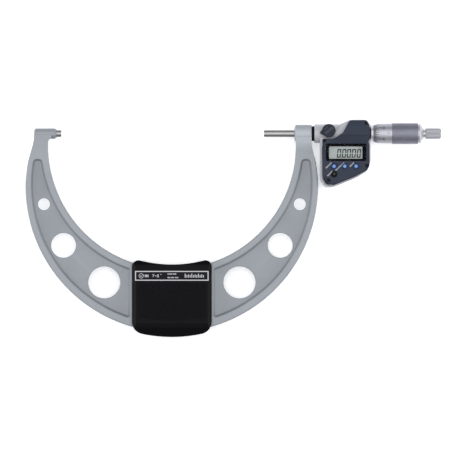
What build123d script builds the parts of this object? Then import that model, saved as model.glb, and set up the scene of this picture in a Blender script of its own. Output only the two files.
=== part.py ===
from build123d import *
import math
import os

# Electronic outside micrometer for 177.8 to 203.2 mm (7 to 8 in), lying on its back.
# +X runs along the measuring axis from the anvil to the spindle, +Y is the open side
# of the U, +Z comes out of the display. The origin is the centre of the anvil's
# measuring face. All sizes are in millimetres.

# ---- measuring axis -------------------------------------------------------------
RANGE_LOW = 177.8          # gap between the measuring faces at zero (7 in)
SPINDLE_R = 3.175          # 6.35 mm anvil and spindle
RUN = 0.05                 # radial running clearance of the fits

# ---- U frame --------------------------------------------------------------------
MID_X = 97.0               # symmetry line of the U
RIM = 5.2                  # half thickness of the rims
WEB = 2.4                  # half thickness of the web
INNER_C, INNER_R = (97.05, -10.0), 108.8
OUTER_C, OUTER_R = (96.95, -46.0), 128.4
WELL_INNER_R = 114.1       # upper edge of the recess, concentric with the inner rim
WELL_OUTER_C, WELL_OUTER_R = (97.0, -44.1), 123.7
WELL_TOP_Y = -22.0
WELL_WALL = 1.9            # how far the recess wall slopes in
HOLES = [(112.3, -62.0, 5.3), (95.1, -98.1, 10.9), (59.4, -130.6, 14.05)]
ANVIL_BOSS_R = 4.65
SPINDLE_BOSS_R = 7.75
BOSS_X0, BOSS_X1 = 204.6, 219.6

# ---- grip covers ----------------------------------------------------------------
GRIP_X0, GRIP_X1 = 62.1, 132.0
GRIP_Z = 12.0
GRIP_SCREWS = [(74.0, -147.0), (120.0, -147.0)]

# ---- display head ---------------------------------------------------------------
HEAD_BACK, HEAD_SPLIT, HEAD_FRONT = -12.0, 8.0, 13.2
TUBE_R = 8.2
LOCK_X, LOCK_Y = 234.6, 2.4
BUTTONS = {"left": (239.1, -28.8), "middle": (248.5, -28.8),
           "right": (258.4, -28.8), "lower": (239.1, -35.7)}
COVER_SCREWS = [(267.4, 9.0), (267.9, -28.2), (234.4, -41.0), (230.6, -6.3)]
BATTERY_X, BATTERY_Y = 250.0, -22.0
PORT_X, PORT_Y = 240.6, -36.0

os.makedirs("parts", exist_ok=True)


def on_circle(centre, radius, angle):
    a = math.radians(angle)
    return (centre[0] + radius * math.cos(a), centre[1] + radius * math.sin(a))


def left_x(centre, radius, y):
    """X of the left side of a circle at height y."""
    return centre[0] - math.sqrt(radius ** 2 - (y - centre[1]) ** 2)


def low_y(centre, radius, x):
    """Y of the lower side of a circle at x."""
    return centre[1] - math.sqrt(radius ** 2 - (x - centre[0]) ** 2)


def lower_arc_mid(centre, radius, p, q):
    """Point of the circle half way between p and q."""
    a = math.atan2(p[1] - centre[1], p[0] - centre[0])
    b = math.atan2(q[1] - centre[1], q[0] - centre[0])
    m = (a + b) / 2
    if abs(a - b) > math.pi:
        m += math.pi
    return (centre[0] + radius * math.cos(m), centre[1] + radius * math.sin(m))


def rounded_outline(corners):
    """Closed face through (x, y, radius) corners with a tangent arc at each one."""
    n = len(corners)
    ends = []
    for i, (x, y, r) in enumerate(corners):
        px, py, _ = corners[i - 1]
        qx, qy, _ = corners[(i + 1) % n]
        a = math.atan2(py - y, px - x)
        b = math.atan2(qy - y, qx - x)
        half = abs((a - b + math.pi) % (2 * math.pi) - math.pi) / 2
        if r <= 0 or math.pi / 2 - half < 0.005:
            ends.append(((x, y), None, (x, y)))
            continue
        t = r / math.tan(half)
        bx, by = math.cos(a) + math.cos(b), math.sin(a) + math.sin(b)
        bl = math.hypot(bx, by)
        d = r / math.sin(half) - r
        ends.append(((x + t * math.cos(a), y + t * math.sin(a)),
                     (x + d * bx / bl, y + d * by / bl),
                     (x + t * math.cos(b), y + t * math.sin(b))))
    with BuildLine() as outline:
        for i in range(n):
            start, mid, end = ends[i]
            if mid is not None:
                ThreePointArc(start, mid, end)
            nxt = ends[(i + 1) % n][0]
            if math.hypot(nxt[0] - end[0], nxt[1] - end[1]) > 1e-4:
                Line(end, nxt)
    make_face(outline.edges())


def turned(points):
    """Solid turned about the measuring axis from (x, radius) points."""
    with BuildPart() as body:
        with BuildSketch(Plane.XY):
            with BuildLine():
                Polyline(*points, close=True)
            make_face()
        revolve(axis=Axis.X)
    return body


def tube(x0, x1, r_out, r_in, chamfer_out=0.0):
    c = chamfer_out
    pts = [(x0, r_in), (x0, r_out - c), (x0 + c, r_out), (x1 - c, r_out), (x1, r_out - c), (x1, r_in)]
    clean = [pts[0]]
    for p in pts[1:]:
        if math.hypot(p[0] - clean[-1][0], p[1] - clean[-1][1]) > 1e-6:
            clean.append(p)
    return turned(clean)


def turned_z(centre, points):
    """Solid turned about an upright axis through centre from (radius, z) points."""
    with BuildPart() as body:
        with BuildSketch(Plane(origin=(centre[0], centre[1], 0), x_dir=(1, 0, 0), z_dir=(0, -1, 0))):
            with BuildLine():
                Polyline(*points, close=True)
            make_face()
        revolve(axis=Axis((centre[0], centre[1], 0), (0, 0, 1)))
    return body


def save(name, node):
    node.part.label = name
    export_step(node.part, "parts/" + name + ".step")


# ================================================================= U frame
def plan_outline():
    """Plan of the U, with both arms running up to the bosses."""
    s_left = [(-31.45, -46.0), (-30.75, -35.5), (-29.9, -28.8), (-28.85, -23.2),
              (-27.35, -17.9), (-25.75, -12.6), (-24.5, -7.4), (-23.9, -2.0)]
    s_right = [(219.6, -7.5), (220.2, -12.6), (221.5, -17.9),
               (222.85, -23.2), (223.95, -28.8), (224.75, -35.5), (225.35, -46.0)]
    with BuildLine() as outline:
        Line((-23.9, -2.0), (-23.9, 0.0))
        Line((-23.9, 0.0), (-8.6, 0.0))
        Line((-8.6, 0.0), (-8.6, -4.4))
        ThreePointArc((-8.6, -4.4), (-10.8, -5.3), (-11.75, -7.5))
        Line((-11.75, -7.5), (-11.75, -10.0))
        ThreePointArc((-11.75, -10.0), (97.05, -118.8), (205.85, -10.0))
        Line((205.85, -10.0), (205.85, 0.0))
        Line((205.85, 0.0), (219.6, 0.0))
        Line((219.6, 0.0), (219.6, -7.5))
        Spline(*s_right, tangents=[(0, -1), (0, -1)])
        ThreePointArc((225.35, -46.0), (96.95, -174.4), (-31.45, -46.0))
        Spline(*s_left, tangents=[(0, 1), (0, 1)])
    make_face(outline.edges())


def well_outline():
    """Left half of the recess between the rims."""
    x_end = GRIP_X0 - 1.2
    a = (left_x(INNER_C, WELL_INNER_R, WELL_TOP_Y), WELL_TOP_Y)
    b = (x_end, low_y(INNER_C, WELL_INNER_R, x_end))
    c = (x_end, low_y(WELL_OUTER_C, WELL_OUTER_R, x_end))
    d = (left_x(WELL_OUTER_C, WELL_OUTER_R, WELL_TOP_Y), WELL_TOP_Y)
    with BuildLine() as outline:
        ThreePointArc(a, lower_arc_mid(INNER_C, WELL_INNER_R, a, b), b)
        Line(b, c)
        ThreePointArc(c, lower_arc_mid(WELL_OUTER_C, WELL_OUTER_R, d, c), d)
        Line(d, a)
    make_face(outline.edges())


with BuildPart() as frame_well:
    # one sloping-walled pocket of the I section, cut from each face
    with BuildSketch(Plane.XY.offset(RIM)) as well_sketch:
        well_outline()
        fillet(well_sketch.vertices().sort_by(Axis.Y)[-2:], radius=3.6)
        fillet(well_sketch.vertices().sort_by(Axis.X)[-2:], radius=2.5)
    extrude(amount=-(RIM - WEB), dir=(0, 0, 1), taper=math.degrees(math.atan2(WELL_WALL, RIM - WEB)))
    mirror(about=Plane.XY)
    mirror(about=Plane.YZ.offset(MID_X))

with BuildPart() as frame_neck:
    # the spindle arm swells from rim thickness to the boss
    with BuildSketch(Plane.XY.offset(-7.2)):
        with BuildLine():
            Polyline((205.85, 0), (219.6, 0), (219.6, -7.5))
            Spline((219.6, -7.5), (220.2, -12.6), (221.5, -17.9), (222.2, -20.8), tangents=[(0, -1), (0.25, -1)])
            Polyline((222.2, -20.8), (205.3, -20.8), (205.7, -14.0), (205.85, -10.0), (205.85, 0))
        make_face()
    extrude(amount=14.4, dir=(0, 0, 1))
    with BuildSketch(Plane.YZ):
        with BuildLine():
            Polyline((-20.8, -4.5), (-16.0, -5.1), (-8.5, -6.8), (0, -7.2), (0, 7.2),
                     (-8.5, 6.8), (-16.0, 5.1), (-20.8, 4.5), close=True)
        make_face()
    extrude(amount=300, both=True, mode=Mode.INTERSECT)

with BuildPart() as frame:
    with BuildSketch(Plane.XY.offset(-RIM)):
        plan_outline()
    extrude(amount=2 * RIM, dir=(0, 0, 1))
    rim_edges = frame.edges().filter_by(lambda e: abs(abs(e.center().Z) - RIM) < 0.01
                                        and e.center().Y < -0.5 and e.length > 3.0)
    fillet(rim_edges, radius=1.5)
    # the arms thin towards the bosses
    with BuildSketch(Plane.YZ):
        with BuildLine():
            Polyline((-200, -RIM), (-34, -RIM), (-10, -4.45), (5, -4.45), (5, 4.45),
                     (-10, 4.45), (-34, RIM), (-200, RIM), close=True)
        make_face()
    extrude(amount=320, both=True, mode=Mode.INTERSECT)
    add(frame_well.part, mode=Mode.SUBTRACT)
    # lightening holes through the web
    with BuildSketch(Plane.XY.offset(-RIM)):
        for dx, y, r in HOLES:
            for side in (-1, 1):
                with Locations((MID_X + side * dx, y)):
                    Circle(r)
    extrude(amount=2 * RIM, dir=(0, 0, 1), mode=Mode.SUBTRACT)
    hole_edges = frame.edges().filter_by(GeomType.CIRCLE).filter_by(
        lambda e: abs(abs(e.center().Z) - WEB) < 0.01 and any(abs(e.radius - h[2]) < 0.01 for h in HOLES))
    chamfer(hole_edges, length=0.5)
    add(frame_neck.part)
    # anvil boss and spindle boss
    with BuildSketch(Plane.XY):
        with BuildLine():
            Line((-23.9, 0), (-23.9, 2.75))
            ThreePointArc((-23.9, 2.75), (-23.34, 4.09), (-22.0, 4.65))
            Polyline((-22.0, 4.65), (-6.0, 4.65), (-4.4, 4.0), (-4.4, 0), (-23.9, 0))
        make_face()
    revolve(axis=Axis.X)
    with BuildSketch(Plane.XY):
        with BuildLine():
            Polyline((BOSS_X0, 0), (BOSS_X0, 5.5), (BOSS_X0 + 1.2, SPINDLE_BOSS_R),
                     (BOSS_X1 - 0.5, SPINDLE_BOSS_R), (BOSS_X1, SPINDLE_BOSS_R - 0.5), (BOSS_X1, 0), close=True)
        make_face()
    revolve(axis=Axis.X)
    # bores for the anvil, the wiper and the spindle bush
    with BuildSketch(Plane.XY):
        with BuildLine():
            Polyline((-20.5, 0), (-20.5, SPINDLE_R), (-4.0, SPINDLE_R), (-4.0, 0), close=True)
        make_face()
        with BuildLine():
            Polyline((BOSS_X0 - 1, 0), (BOSS_X0 - 1, 4.2), (206.4, 4.2), (206.4, 5.0), (BOSS_X1 + 1, 5.0),
                     (BOSS_X1 + 1, 0), close=True)
        make_face()
    revolve(axis=Axis.X, mode=Mode.SUBTRACT)
    # clearance for the two grip screws
    with BuildSketch(Plane.XY.offset(-RIM)):
        with Locations(*GRIP_SCREWS):
            Circle(1.8)
    extrude(amount=2 * RIM, dir=(0, 0, 1), mode=Mode.SUBTRACT)
    with BuildSketch(Plane.YZ.offset(-4.0)):
        Circle(SPINDLE_R)
    extrude(amount=-16.5, dir=(1, 0, 0), mode=Mode.SUBTRACT)

anvil = turned([(-20.4, 0), (-20.4, 2.7), (-19.9, 3.165), (-4.4, 3.165), (-4.4, SPINDLE_R), (-1.0, SPINDLE_R), (-1.0, 0)])
anvil_tip = turned([(-1.0, 0), (-1.0, 3.12), (-0.25, 3.12), (0.0, 2.9), (0.0, 0)])

spindle_bush = tube(206.4, 230.6, 4.99, SPINDLE_R + RUN, 0.3)
spindle_wiper = turned([(204.9, SPINDLE_R + RUN), (204.9, 3.8), (205.2, 4.19), (206.38, 4.19), (206.38, SPINDLE_R + RUN)])
head_seal_ring = tube(BOSS_X1, 222.1, 6.5, 5.0, 0.25)


# ================================================================= grip covers
def grip_outline():
    rounded_outline([
        (GRIP_X0, -109.9, 5.5), (MID_X + 0.05, -117.5, 110.0), (GRIP_X1, -109.9, 5.5),
        (GRIP_X1, -173.8, 11.0), (MID_X + 0.05, -181.2, 125.0), (GRIP_X0, -173.8, 11.0)])


def grip_face_profile(sign):
    """Side view of a cover: flat in the middle, sloping at the two ends."""
    pts = [(-190, 0.05), (-190, 6.0), (-179.0, 8.2), (-170.0, 11.2), (-166.5, GRIP_Z),
           (-119.0, GRIP_Z), (-115.0, 11.3), (-110.0, 8.6), (-105, 6.0), (-105, 0.05)]
    with BuildLine() as outline:
        Polyline(*[(y, sign * z) for y, z in pts], close=True)
    make_face(outline.edges())


def grip_bevel_profile(sign):
    """End view of a cover: bevelled along both sides."""
    pts = [(GRIP_X0 - 1, 0.05), (GRIP_X0 - 1, 7.4), (GRIP_X0, 8.4), (GRIP_X0 + 1.0, 10.2), (GRIP_X0 + 3.4, GRIP_Z),
           (GRIP_X1 - 3.4, GRIP_Z), (GRIP_X1 - 1.0, 10.2), (GRIP_X1, 8.4), (GRIP_X1 + 1, 7.4), (GRIP_X1 + 1, 0.05)]
    with BuildLine() as outline:
        Polyline(*[(x, sign * z) for x, z in pts], close=True)
    make_face(outline.edges())


with BuildPart() as band_space:
    # room for the frame's rim inside the two covers
    with BuildSketch(Plane.XY.offset(-RIM)):
        plan_outline()
    extrude(amount=2 * RIM, dir=(0, 0, 1))

with BuildPart() as front_grip_cover:
    with BuildSketch(Plane.XY.offset(0.05)):
        grip_outline()
    extrude(amount=GRIP_Z - 0.05, dir=(0, 0, 1))
    with BuildSketch(Plane.XZ):
        grip_bevel_profile(1)
    extrude(amount=200, both=True, mode=Mode.INTERSECT)
    with BuildSketch(Plane.YZ):
        grip_face_profile(1)
    extrude(amount=300, both=True, mode=Mode.INTERSECT)
    add(band_space.part, mode=Mode.SUBTRACT)
    # shallow seat for the scale label
    with BuildSketch(Plane.XY.offset(GRIP_Z - 0.35)):
        with Locations((97.05, -124.75)):
            RectangleRounded(64.9, 8.9, 0.6)
    extrude(amount=1.0, dir=(0, 0, 1), mode=Mode.SUBTRACT)
    # hollow between the two screw bosses, and the holes for the threaded inserts
    with BuildSketch(Plane.XY.offset(RIM - 0.1)):
        with Locations((97.05, -147.0)):
            RectangleRounded(34.0, 38.0, 3.0)
    extrude(amount=4.1, dir=(0, 0, 1), mode=Mode.SUBTRACT)
    with BuildSketch(Plane.XY.offset(RIM - 0.1)):
        with Locations(*GRIP_SCREWS):
            Circle(2.4)
    extrude(amount=4.6, dir=(0, 0, 1), mode=Mode.SUBTRACT)
    # raised gripping panel with an arched lower edge
    with BuildSketch(Plane.XY.offset(GRIP_Z)):
        with BuildLine():
            Line((66.2, -130.3), (127.9, -130.3))
            Line((127.9, -130.3), (127.9, -163.0))
            ThreePointArc((127.9, -163.0), (97.05, -165.6), (66.2, -163.0))
            Line((66.2, -163.0), (66.2, -130.3))
        make_face()
    extrude(amount=0.35, dir=(0, 0, 1))

with BuildPart() as rear_grip_cover:
    with BuildSketch(Plane.XY.offset(-GRIP_Z)):
        grip_outline()
    extrude(amount=GRIP_Z - 0.05, dir=(0, 0, 1))
    with BuildSketch(Plane.XZ):
        grip_bevel_profile(-1)
    extrude(amount=200, both=True, mode=Mode.INTERSECT)
    with BuildSketch(Plane.YZ):
        grip_face_profile(-1)
    extrude(amount=300, both=True, mode=Mode.INTERSECT)
    add(band_space.part, mode=Mode.SUBTRACT)
    with BuildSketch(Plane.XY.offset(-RIM + 0.1)):
        with Locations((97.05, -147.0)):
            RectangleRounded(34.0, 38.0, 3.0)
    extrude(amount=-4.1, dir=(0, 0, 1), mode=Mode.SUBTRACT)
    # countersunk-bottomed wells of the two screws
    with BuildSketch(Plane.XY.offset(-GRIP_Z - 1)):
        with Locations(*GRIP_SCREWS):
            Circle(3.2)
    extrude(amount=4.4, dir=(0, 0, 1), mode=Mode.SUBTRACT)
    with BuildSketch(Plane.XY.offset(-GRIP_Z)):
        with Locations(*GRIP_SCREWS):
            Circle(1.7)
    extrude(amount=8.0, dir=(0, 0, 1), mode=Mode.SUBTRACT)


def cross_slot(z, depth, length, width):
    """Cross recess cut into a screw head from plane z, depth signed."""
    with BuildSketch(Plane.XY.offset(z)) as cross:
        Rectangle(length, width)
        Rectangle(width, length)
    extrude(cross.sketch, amount=depth, dir=(0, 0, 1), mode=Mode.SUBTRACT)


def grip_screw_at(x, y):
    with BuildPart() as s:
        with BuildSketch(Plane(origin=(0, 0, 0), x_dir=(1, 0, 0), z_dir=(0, -1, 0))):
            with BuildLine():
                Polyline((0, -11.1), (2.3, -11.1), (2.8, -10.6), (2.8, -8.6), (1.5, -8.6), (1.5, 8.6), (1.1, 9.0), (0, 9.0), close=True)
            make_face()
        revolve(axis=Axis.Z)
        cross_slot(-11.2, 1.4, 3.2, 0.7)
    with BuildPart() as placed:
        add(s.part.moved(Location((x, y, 0))))
    return placed


grip_screw_left = grip_screw_at(*GRIP_SCREWS[0])
grip_screw_right = grip_screw_at(*GRIP_SCREWS[1])
grip_insert_left = turned_z(GRIP_SCREWS[0], [(1.51, RIM), (1.51, 9.4), (2.39, 9.4), (2.39, RIM)])
grip_insert_right = turned_z(GRIP_SCREWS[1], [(1.51, RIM), (1.51, 9.4), (2.39, 9.4), (2.39, RIM)])

with BuildPart() as label_plate:
    with BuildSketch(Plane.XY.offset(GRIP_Z - 0.35)):
        with Locations((97.05, -124.75)):
            RectangleRounded(64.7, 8.7, 0.5)
    extrude(amount=0.4, dir=(0, 0, 1))


# ================================================================= head housing
def head_outline():
    rounded_outline([
        (227.0, -3.4, 0.8), (240.5, -3.4, 3.0), (244.3, 8.0, 3.0), (253.6, 12.1, 8.0),
        (267.6, 12.1, 4.0), (271.0, 7.4, 2.5), (271.3, -24.5, 9.0), (268.4, -32.9, 5.0),
        (258.5, -38.9, 30.0), (238.2, -47.2, 12.0), (231.0, -47.2, 5.0), (227.0, -40.0, 7.0)])


def cavity_outline():
    """Electronics room below the measuring axis, with the cover-screw posts left standing."""
    rounded_outline([
        (229.4, -11.0, 1.5), (269.0, -11.0, 1.5), (269.0, -24.4, 6.0), (266.8, -31.2, 3.5),
        (257.6, -36.7, 20.0), (237.6, -44.9, 8.0), (232.3, -44.9, 3.5), (229.4, -39.4, 5.0)])


def cover_outline():
    rounded_outline([
        (229.0, -4.6, 1.6), (238.8, -4.6, 5.0), (246.8, 0.3, 5.0), (252.8, 11.5, 3.0),
        (267.6, 11.6, 2.0), (269.7, 8.0, 1.5), (271.0, -1.3, 6.0), (269.3, -7.6, 1.0),
        (270.1, -10.0, 1.0), (270.1, -28.6, 2.5), (267.9, -32.2, 3.5), (257.9, -37.7, 30.0),
        (240.0, -44.9, 8.0), (234.0, -44.9, 5.0), (229.2, -38.4, 6.0)])


with BuildPart() as head_cavity:
    with BuildSketch(Plane.XY.offset(-10.0)) as cavity_sketch:
        cavity_outline()
        with Locations(COVER_SCREWS[1], COVER_SCREWS[2]):
            Circle(2.6, mode=Mode.SUBTRACT)
    extrude(amount=10.0 + HEAD_SPLIT, dir=(0, 0, 1))

with BuildPart() as head_housing:
    with BuildSketch(Plane.XY.offset(HEAD_BACK)):
        head_outline()
    extrude(amount=HEAD_SPLIT - HEAD_BACK, dir=(0, 0, 1))
    fillet(head_housing.edges().filter_by(lambda e: abs(e.center().Z - HEAD_BACK) < 0.01), radius=1.6)
    fillet(head_housing.edges().filter_by(lambda e: abs(e.center().Z - HEAD_SPLIT) < 0.01), radius=0.5)
    # the upper back is rounded over the encoder
    with BuildSketch(Plane.YZ):
        rounded_outline([(-60, -12.5, 0), (12.2, -12.5, 9.0), (12.2, 9, 0), (-60, 9, 0)])
    extrude(amount=300, both=True, mode=Mode.INTERSECT)
    # spindle tube and the round shoulder at the sleeve
    with BuildSketch(Plane.XY):
        with BuildLine():
            Polyline((222.1, 0), (222.1, TUBE_R - 0.6), (222.7, TUBE_R), (252.0, TUBE_R), (252.0, 0), close=True)
        make_face()
        with BuildLine():
            Polyline((264.0, 0), (264.0, 7.9), (271.2, 7.9), (271.7, 7.4), (271.7, 0), close=True)
        make_face()
    revolve(axis=Axis.X)
    # flat boss under the lock lever
    with BuildSketch(Plane.XY.offset(3.0)):
        with Locations((LOCK_X, LOCK_Y)):
            Circle(4.9)
    extrude(amount=5.6, dir=(0, 0, 1))
    # bores: spindle bushes, encoder room, inner sleeve
    with BuildSketch(Plane.XY):
        with BuildLine():
            Polyline((222.0, 0), (222.0, 5.0), (250.0, 5.0), (250.0, 8.8), (262.0, 8.8),
                     (262.0, 5.5), (272.0, 5.5), (272.0, 0), close=True)
        make_face()
    revolve(axis=Axis.X, mode=Mode.SUBTRACT)
    add(head_cavity.part, mode=Mode.SUBTRACT)
    # slot for the encoder leads
    with BuildSketch(Plane.XY.offset(-2.0)):
        with Locations((251.4, -10.0)):
            Rectangle(2.2, 5.0)
    extrude(amount=4.0, dir=(0, 0, 1), mode=Mode.SUBTRACT)
    # lock shaft hole
    with BuildSketch(Plane.XY.offset(3.0)):
        with Locations((LOCK_X, LOCK_Y)):
            Circle(1.95)
    extrude(amount=8.0, dir=(0, 0, 1), mode=Mode.SUBTRACT)
    # pilot holes of the cover screws
    with BuildSketch(Plane.XY.offset(2.0)):
        with Locations(*COVER_SCREWS):
            Circle(0.8)
    extrude(amount=7.0, dir=(0, 0, 1), mode=Mode.SUBTRACT)
    # battery opening, output socket opening, seat of the socket cover
    with BuildSketch(Plane.XY.offset(HEAD_BACK - 1)):
        with Locations((BATTERY_X, BATTERY_Y)):
            Circle(8.3)
        with Locations((PORT_X, PORT_Y)):
            RectangleRounded(9.2, 4.6, 0.6)
    extrude(amount=4.0, dir=(0, 0, 1), mode=Mode.SUBTRACT)
    with BuildSketch(Plane.XY.offset(HEAD_BACK - 1)):
        with Locations((PORT_X, PORT_Y)):
            RectangleRounded(17.0, 6.6, 1.5)
    extrude(amount=2.0, dir=(0, 0, 1), mode=Mode.SUBTRACT)
    # board pillars and screw pillars inside
    with BuildSketch(Plane.XY.offset(-10.5)):
        with Locations((231.6, -15.0), (266.6, -15.0), (236.0, -43.2)):
            Circle(1.7)
    extrude(amount=13.5, dir=(0, 0, 1))
    with BuildSketch(Plane.XY.offset(-10.6)):
        with Locations((PORT_X - 6.6, PORT_Y), (PORT_X + 6.6, PORT_Y)):
            Circle(1.7)
    extrude(amount=3.6, dir=(0, 0, 1))
    with BuildSketch(Plane.XY.offset(-11.2)):
        with Locations((PORT_X - 6.6, PORT_Y), (PORT_X + 6.6, PORT_Y)):
            Circle(0.7)
    extrude(amount=3.6, dir=(0, 0, 1), mode=Mode.SUBTRACT)

with BuildPart() as cover_gasket:
    # cord seal lying in a groove round the electronics room
    with BuildSketch(Plane.XY.offset(HEAD_SPLIT - 0.7)):
        rounded_outline([
            (228.6, -10.2, 2.3), (270.0, -10.2, 2.3), (270.0, -28.6, 3.0), (267.7, -32.2, 3.4),
            (257.9, -37.5, 20.8), (237.8, -45.7, 8.8), (231.8, -45.7, 4.3), (228.6, -39.6, 5.8)])
    extrude(amount=0.7, dir=(0, 0, 1))
    with BuildSketch(Plane.XY.offset(HEAD_SPLIT - 0.7)):
        rounded_outline([
            (229.0, -10.6, 1.9), (269.6, -10.6, 1.9), (269.6, -28.45, 2.6), (267.45, -31.8, 3.0),
            (257.75, -37.1, 20.4), (237.7, -45.3, 8.4), (232.05, -45.3, 3.9), (229.0, -39.5, 5.4)])
    extrude(amount=0.7, dir=(0, 0, 1), mode=Mode.SUBTRACT)

with head_housing:
    add(cover_gasket.part, mode=Mode.SUBTRACT)

rear_spindle_bush = tube(240.6, 249.9, 4.99, SPINDLE_R + RUN, 0.3)

with BuildPart() as lock_clamp_ring:
    # split ring round the spindle, notched where the lock shaft presses on it
    with BuildSketch(Plane.YZ.offset(230.9)):
        Circle(4.98)
        Circle(SPINDLE_R + RUN, mode=Mode.SUBTRACT)
    extrude(amount=9.4, dir=(1, 0, 0))
    with BuildSketch(Plane.XY.offset(4.2)):
        with Locations((LOCK_X, LOCK_Y)):
            Circle(2.3)
    extrude(amount=3.0, dir=(0, 0, 1), mode=Mode.SUBTRACT)
    with BuildSketch(Plane.XY.offset(-6.0)):
        with Locations((LOCK_X, 0)):
            Rectangle(12.0, 0.6)
    extrude(amount=4.0, dir=(0, 0, 1), mode=Mode.SUBTRACT)

# ================================================================= front cover
with BuildPart() as display_cover:
    with BuildSketch(Plane.XY.offset(HEAD_SPLIT)):
        cover_outline()
    extrude(amount=HEAD_FRONT - HEAD_SPLIT, dir=(0, 0, 1))
    fillet(display_cover.edges().filter_by(lambda e: abs(e.center().Z - HEAD_FRONT) < 0.01), radius=0.9)
    # flat over the display, stepping down to a curve over the measuring axis
    with BuildSketch(Plane.YZ):
        with BuildLine():
            Polyline((-60, 7), (-60, HEAD_FRONT), (-2.4, HEAD_FRONT), (-2.0, 12.85))
            ThreePointArc((-2.0, 12.85), (6.0, 11.75), (12.4, 9.35))
            Polyline((12.4, 9.35), (12.4, 7), (-60, 7))
        make_face()
    extrude(amount=300, both=True, mode=Mode.INTERSECT)
    # hollow over the board, keeping the screw posts
    with BuildSketch(Plane.XY.offset(HEAD_SPLIT - 0.5)):
        rounded_outline([
            (231.4, -9.6, 1.5), (268.2, -9.6, 1.5), (268.2, -24.3, 5.0), (266.0, -30.8, 3.0),
            (257.2, -35.8, 20.0), (238.4, -43.0, 6.0), (233.6, -43.0, 3.0), (231.4, -38.6, 4.0)])
        with Locations(COVER_SCREWS[1], COVER_SCREWS[2]):
            Circle(2.4, mode=Mode.SUBTRACT)
    extrude(amount=11.2 - HEAD_SPLIT + 0.5, dir=(0, 0, 1), mode=Mode.SUBTRACT)
    # relief over the spindle tube
    with BuildSketch(Plane.YZ.offset(238.0)):
        Circle(TUBE_R + 0.05)
    extrude(amount=14.3, dir=(1, 0, 0), mode=Mode.SUBTRACT)
    # scoop over the encoder
    with BuildSketch(Plane.YZ.offset(249.8)):
        Circle(9.1)
    extrude(amount=12.4, dir=(1, 0, 0), mode=Mode.SUBTRACT)
    # window: seat and see-through opening
    with BuildSketch(Plane.XY.offset(12.2)):
        with Locations((249.75, -16.55)):
            RectangleRounded(35.4, 15.4, 1.3)
    extrude(amount=2.0, dir=(0, 0, 1), mode=Mode.SUBTRACT)
    with BuildSketch(Plane.XY.offset(10.0)):
        with Locations((249.3, -16.85)):
            RectangleRounded(30.6, 12.0, 0.8)
    extrude(amount=4.0, dir=(0, 0, 1), mode=Mode.SUBTRACT)
    # button holes
    with BuildSketch(Plane.XY.offset(10.0)):
        with Locations(*BUTTONS.values()):
            Circle(2.9)
    extrude(amount=4.0, dir=(0, 0, 1), mode=Mode.SUBTRACT)
    # screw holes with head seats
    for (sx, sy), seat in zip(COVER_SCREWS, (9.5, 11.5, 11.5, 11.5)):
        with BuildSketch(Plane.XY.offset(HEAD_SPLIT - 0.5)):
            with Locations((sx, sy)):
                Circle(0.95)
        extrude(amount=6.5, dir=(0, 0, 1), mode=Mode.SUBTRACT)
        with BuildSketch(Plane.XY.offset(seat)):
            with Locations((sx, sy)):
                Circle(1.5)
        extrude(amount=4.0, dir=(0, 0, 1), mode=Mode.SUBTRACT)


def cover_screw_at(x, y, seat):
    with BuildPart() as s:
        with BuildSketch(Plane(origin=(0, 0, 0), x_dir=(1, 0, 0), z_dir=(0, -1, 0))):
            with BuildLine():
                Polyline((0, 3.4), (0.6, 3.4), (0.79, 3.7), (0.79, seat), (1.4, seat), (1.4, seat + 0.9),
                         (1.15, seat + 1.15), (0, seat + 1.15), close=True)
            make_face()
        revolve(axis=Axis.Z)
        cross_slot(seat + 0.55, 1.0, 1.7, 0.4)
    with BuildPart() as placed:
        add(s.part.moved(Location((x, y, 0))))
    return placed


cover_screws = [cover_screw_at(x, y, seat) for (x, y), seat in zip(COVER_SCREWS, (9.5, 11.5, 11.5, 11.5))]

with BuildPart() as window_mask:
    with BuildSketch(Plane.XY.offset(12.2)):
        with Locations((249.75, -16.55)):
            RectangleRounded(35.2, 15.2, 1.2)
        with Locations((249.3, -16.85)):
            RectangleRounded(29.4, 10.9, 0.7, mode=Mode.SUBTRACT)
    extrude(amount=0.2, dir=(0, 0, 1))

with BuildPart() as display_window:
    with BuildSketch(Plane.XY.offset(12.4)):
        with Locations((249.75, -16.55)):
            RectangleRounded(35.2, 15.2, 1.2)
    extrude(amount=0.7, dir=(0, 0, 1))

with BuildPart() as lcd_panel:
    with BuildSketch(Plane.XY.offset(9.4)):
        with Locations((249.3, -16.85)):
            Rectangle(32.8, 12.8)
    extrude(amount=1.7, dir=(0, 0, 1))

with BuildPart() as lcd_holder:
    with BuildSketch(Plane.XY.offset(4.2)):
        with Locations((249.3, -17.15)):
            RectangleRounded(33.2, 12.1, 0.8)
        with Locations((249.3, -17.15)):
            Rectangle(29.0, 9.0, mode=Mode.SUBTRACT)
    extrude(amount=5.2, dir=(0, 0, 1))

with BuildPart() as elastomer_connector:
    # zebra strip between board and display glass
    with BuildSketch(Plane.XY.offset(4.2)):
        with Locations((249.3, -20.9)):
            Rectangle(28.6, 1.4)
    extrude(amount=5.2, dir=(0, 0, 1))

with BuildPart() as circuit_board:
    with BuildSketch(Plane.XY.offset(3.0)):
        rounded_outline([
            (229.9, -11.5, 1.5), (268.5, -11.5, 1.5), (268.5, -24.3, 5.6), (266.4, -30.9, 3.2),
            (257.4, -36.2, 20.0), (237.9, -44.3, 8.0), (232.6, -44.3, 3.2), (229.9, -39.2, 4.6)])
        with Locations(COVER_SCREWS[1], COVER_SCREWS[2]):
            Circle(3.0, mode=Mode.SUBTRACT)
    extrude(amount=1.2, dir=(0, 0, 1))
    # controller chip under the board
    with BuildSketch(Plane.XY.offset(1.6)):
        with Locations((261.5, -22.0)):
            Rectangle(7.0, 7.0)
    extrude(amount=1.4, dir=(0, 0, 1))

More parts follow.
